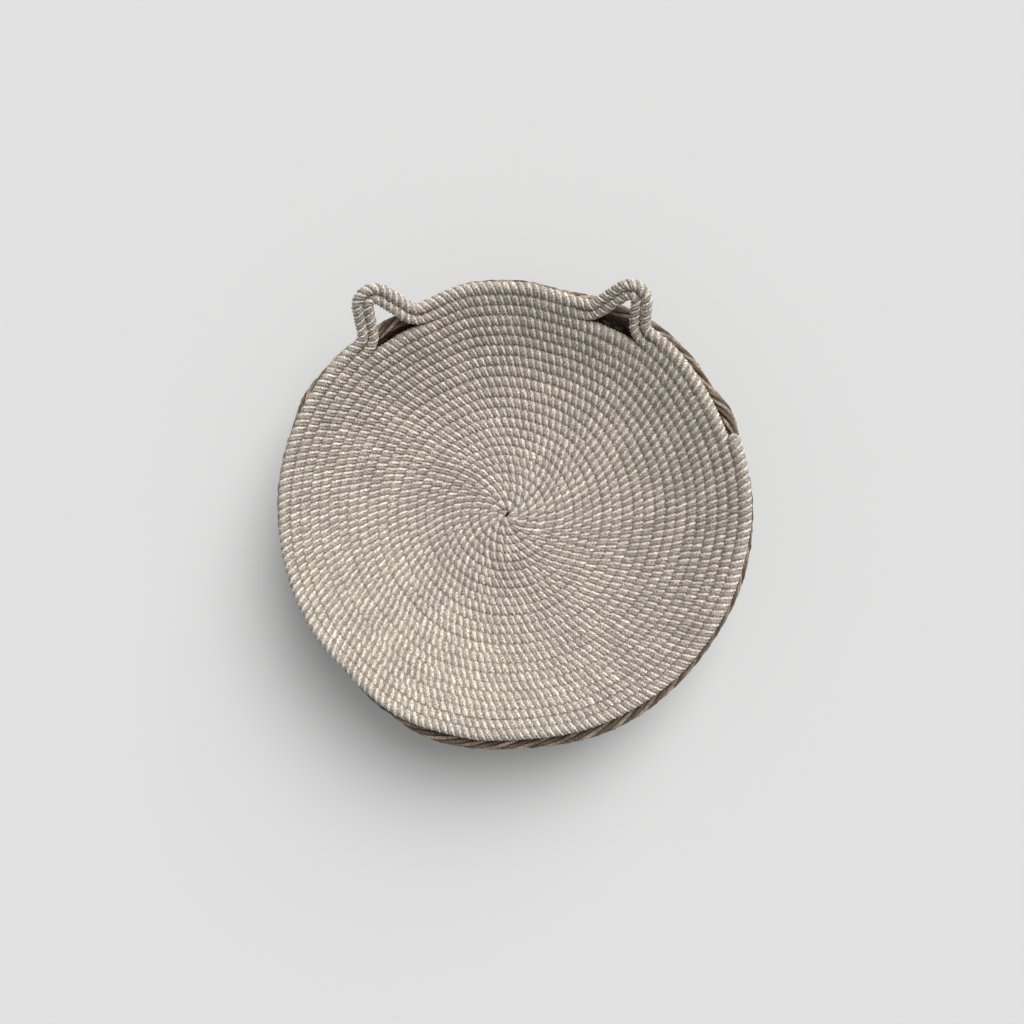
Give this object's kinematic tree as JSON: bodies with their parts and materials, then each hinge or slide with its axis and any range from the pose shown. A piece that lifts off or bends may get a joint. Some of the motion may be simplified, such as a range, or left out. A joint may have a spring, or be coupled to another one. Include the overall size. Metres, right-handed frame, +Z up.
{
  "type": "wicker pet bed basket",
  "caption": "Round wicker basket with a lift-out shallow seat coiled from two-tone rope, with two pointed ear loops on the rim.",
  "frame": {"origin": "centre of the base on the floor", "axes": "+Z up out of the bed, +Y towards the side with the two ears, +X to the right"},
  "size_m": [0.4095, 0.4096, 0.1377],
  "materials": {
    "brown_wicker": "matte, dry natural strand",
    "willow": "matte, peeled rod",
    "two_tone_rope": "soft twisted cotton, cream and taupe",
    "thread": "matte sewing thread"
  },
  "bodies": {
    "basket": {"base_sticks_lower": "willow", "base_sticks_upper": "willow", "base_weave_inner": "brown_wicker", "base_weave_outer": "brown_wicker", "foot_wale": "brown_wicker", "uprights": "willow", "upset_wale": "brown_wicker", "side_weave_1": "brown_wicker", "side_weave_2": "brown_wicker", "side_weave_3": "brown_wicker", "side_weave_4": "brown_wicker", "side_weave_5": "brown_wicker", "side_weave_6": "brown_wicker", "side_weave_7": "brown_wicker", "side_weave_8": "brown_wicker", "top_wale": "brown_wicker", "rolled_border": "brown_wicker"},
    "seat": {"seat_centre_coil": "two_tone_rope", "seat_floor_coil": "two_tone_rope", "seat_lower_bowl_coil": "two_tone_rope", "seat_upper_bowl_coil": "two_tone_rope", "seat_wall_coil": "two_tone_rope", "rim_inner_row_front": "two_tone_rope", "rim_inner_row_back": "two_tone_rope", "rim_outer_row_front": "two_tone_rope", "rim_outer_row_side": "two_tone_rope", "rim_outer_row_back": "two_tone_rope", "ear_left_inner_rope": "two_tone_rope", "ear_left_outer_rope": "two_tone_rope", "ear_right_inner_rope": "two_tone_rope", "ear_right_outer_rope": "two_tone_rope", "rope_end": "two_tone_rope", "stitch_thread": "thread"}
  },
  "joints": [
    {"name": "seat_lift", "type": "slide", "parent": "basket", "child": "seat", "axis": [0, 0, 1], "range_m": [0, 0.18]}
  ]
}
